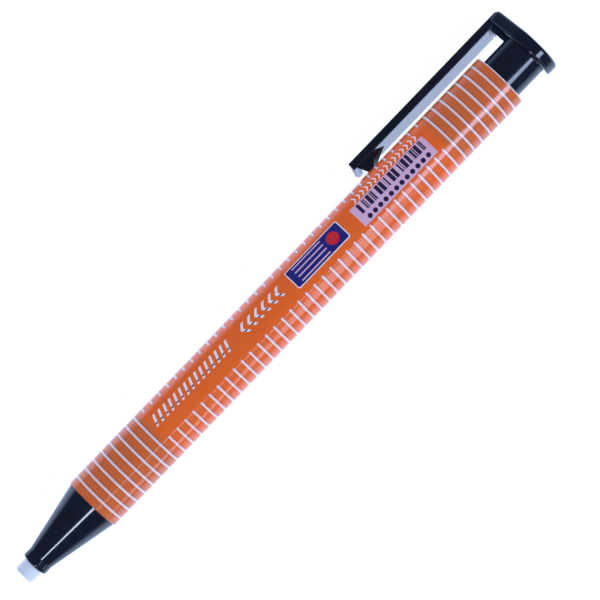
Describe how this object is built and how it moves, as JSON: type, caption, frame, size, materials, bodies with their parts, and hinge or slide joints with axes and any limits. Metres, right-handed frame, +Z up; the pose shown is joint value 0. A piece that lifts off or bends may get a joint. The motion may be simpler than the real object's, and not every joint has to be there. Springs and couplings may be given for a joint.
{
  "type": "pencil eraser stick",
  "caption": "Push-button eraser stick: a slim white eraser gripped by a spring chuck in a ringed barrel, with a screwed front cone and a clip cap that feeds it.",
  "frame": {"origin": "on the table that the pen lies on, under the middle of its length and width", "axes": "+X along the pen from its tip to its cap, +Z up from the table, +Y towards the clip"},
  "size_m": [0.1312, 0.0148, 0.0112],
  "materials": {
    "orange_print": "gloss, printed",
    "black_plastic": "gloss",
    "eraser_vinyl": "matte",
    "grip_rubber": "matte",
    "ring_brass": "turned",
    "natural_plastic": "satin",
    "tube_plastic": "satin",
    "spring_steel": "drawn wire"
  },
  "bodies": {
    "barrel": {"barrel": "orange_print", "inner_sleeve": "natural_plastic", "chuck_spring": "spring_steel"},
    "plunger": {"chuck_body": "natural_plastic", "eraser_tube": "tube_plastic"},
    "chuck_ring": {"chuck_ring": "ring_brass"},
    "eraser": {"eraser_core": "eraser_vinyl"},
    "cap": {"cap": "black_plastic"},
    "clip": {"clip": "black_plastic"},
    "nose_grip": {"nose_grip": "grip_rubber"},
    "front_cone": {"front_cone": "black_plastic"},
    "chuck_finger_1": {"chuck_finger_1": "natural_plastic"},
    "chuck_finger_2": {"chuck_finger_2": "natural_plastic"},
    "chuck_finger_3": {"chuck_finger_3": "natural_plastic"}
  },
  "joints": [
    {"name": "knock_slide", "type": "slide", "parent": "barrel", "child": "plunger", "axis": [-1, 0, 0], "range_m": [0, 0.0045], "stiffness_N_per_m": 300, "springref_m": -0.0015, "deforming": ["chuck_spring"]},
    {"name": "chuck_ring_slide", "type": "slide", "parent": "barrel", "child": "chuck_ring", "axis": [-1, 0, 0], "range_m": [0, 0.00112]},
    {"name": "eraser_feed", "type": "slide", "parent": "chuck_ring", "child": "eraser", "axis": [-1, 0, 0], "range_m": [-0.00251, 0.055]},
    {"name": "cap_turn", "type": "hinge", "parent": "plunger", "child": "cap", "pos_m": [0.06309, -0.00176, 0.0056], "axis": [1, 0, 0], "continuous": true},
    {"name": "clip_flex", "type": "hinge", "parent": "cap", "child": "clip", "pos_m": [0.06029, 0.00582, 0.0025], "axis": [0, -0.3791, -0.9254], "range_deg": [0, 3.5], "stiffness_Nm_per_rad": 0.27, "springref_deg": -0.34},
    {"name": "cone_travel", "type": "slide", "parent": "barrel", "child": "nose_grip", "axis": [-1, 0, 0], "range_m": [0, 0.007]},
    {"name": "cone_turn", "type": "hinge", "parent": "nose_grip", "child": "front_cone", "pos_m": [-0.04806, -0.00176, 0.0056], "axis": [-1, 0, 0], "range_deg": [0, 2520]},
    {"name": "chuck_finger_1_hinge", "type": "hinge", "parent": "plunger", "child": "chuck_finger_1", "pos_m": [-0.03411, 0.00048, 0.0056], "axis": [0, 0, -1], "range_deg": [0, 1.5]},
    {"name": "chuck_finger_2_hinge", "type": "hinge", "parent": "plunger", "child": "chuck_finger_2", "pos_m": [-0.03411, -0.00288, 0.00754], "axis": [0, 0.866, 0.5], "range_deg": [0, 1.5]},
    {"name": "chuck_finger_3_hinge", "type": "hinge", "parent": "plunger", "child": "chuck_finger_3", "pos_m": [-0.03411, -0.00288, 0.00366], "axis": [0, -0.866, 0.5], "range_deg": [0, 1.5]}
  ],
  "couplings": [
    {"joint": "chuck_ring_slide", "follows": "knock_slide", "ratio": 0.25},
    {"joint": "cone_turn", "follows": "cone_travel", "rad_per_m": 6283.2},
    {"joint": "chuck_finger_1_hinge", "follows": "knock_slide", "rad_per_m": 5.8177},
    {"joint": "chuck_finger_2_hinge", "follows": "knock_slide", "rad_per_m": 5.8177},
    {"joint": "chuck_finger_3_hinge", "follows": "knock_slide", "rad_per_m": 5.8177}
  ]
}
